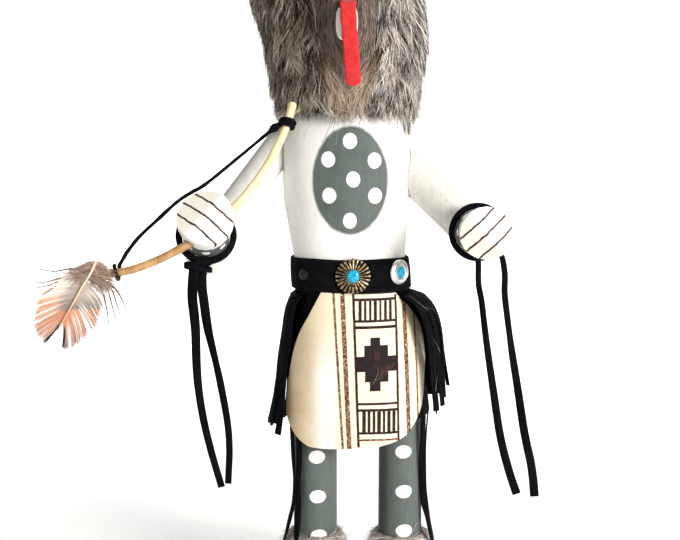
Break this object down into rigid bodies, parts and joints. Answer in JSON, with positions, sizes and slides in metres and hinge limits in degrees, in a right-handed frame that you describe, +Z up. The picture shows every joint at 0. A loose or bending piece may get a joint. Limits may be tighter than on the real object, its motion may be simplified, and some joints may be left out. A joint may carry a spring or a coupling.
{
  "type": "kachina doll",
  "caption": "Carved wooden standing figure with a fur ruff, hide apron, suede fringes and belt, holding a small bow, on a low round base",
  "frame": {"origin": "middle of the underside of the round base", "axes": "+Z up, the figure faces -Y, its own right hand with the bow is on the -X side"},
  "size_m": [0.2209, 0.1474, 0.378],
  "materials": {
    "white_paint": "white painted wood",
    "grey_green_paint": "grey-green painted wood",
    "bare_wood": "plain sanded wood",
    "rust_paint": "rust brown painted wood",
    "black_suede": "black suede",
    "cream_leather": "cream split leather, burned pattern",
    "fur": "long grey-brown fur",
    "pale_fur": "pale grey fur",
    "red_felt": "red felt",
    "pale_reed": "bare pale reed",
    "feather": "barred feather",
    "old_brass": "aged brass",
    "silver": "polished silver colour",
    "turquoise": "polished turquoise",
    "black_metal": "black domed button"
  },
  "bodies": {
    "root": {"base": "bare_wood", "moccasin_right": "rust_paint", "moccasin_left": "rust_paint", "ankle_fur_right": "pale_fur", "ankle_fur_left": "pale_fur", "leg_right": "grey_green_paint", "leg_left": "grey_green_paint", "torso": "white_paint", "upper_arm_right": "white_paint", "upper_arm_left": "white_paint", "forearm_right": "white_paint", "forearm_left": "white_paint", "wrist_lace_right": "black_suede", "wrist_lace_left": "black_suede", "lace_end_right_inner": "black_suede", "lace_end_right_outer": "black_suede", "lace_end_left_inner": "black_suede", "lace_end_left_outer": "black_suede", "suede_skirt": "black_suede", "fringe_right": "black_suede", "fringe_left": "black_suede", "leather_apron": "cream_leather", "belt": "black_suede", "flower_concho": "old_brass", "flower_stone": "turquoise", "round_concho": "silver", "round_stone": "turquoise", "belt_button": "black_metal", "leg_fringe_right": "black_suede", "leg_fringe_left": "black_suede", "fur_ruff": "fur", "mask": "grey_green_paint", "upper_jaw": "white_paint", "lower_jaw": "white_paint", "ear_right": "grey_green_paint", "ear_left": "grey_green_paint", "tongue": "red_felt", "bow_stick": "pale_reed", "bow_string": "black_suede", "feather": "feather"}
  },
  "joints": []
}
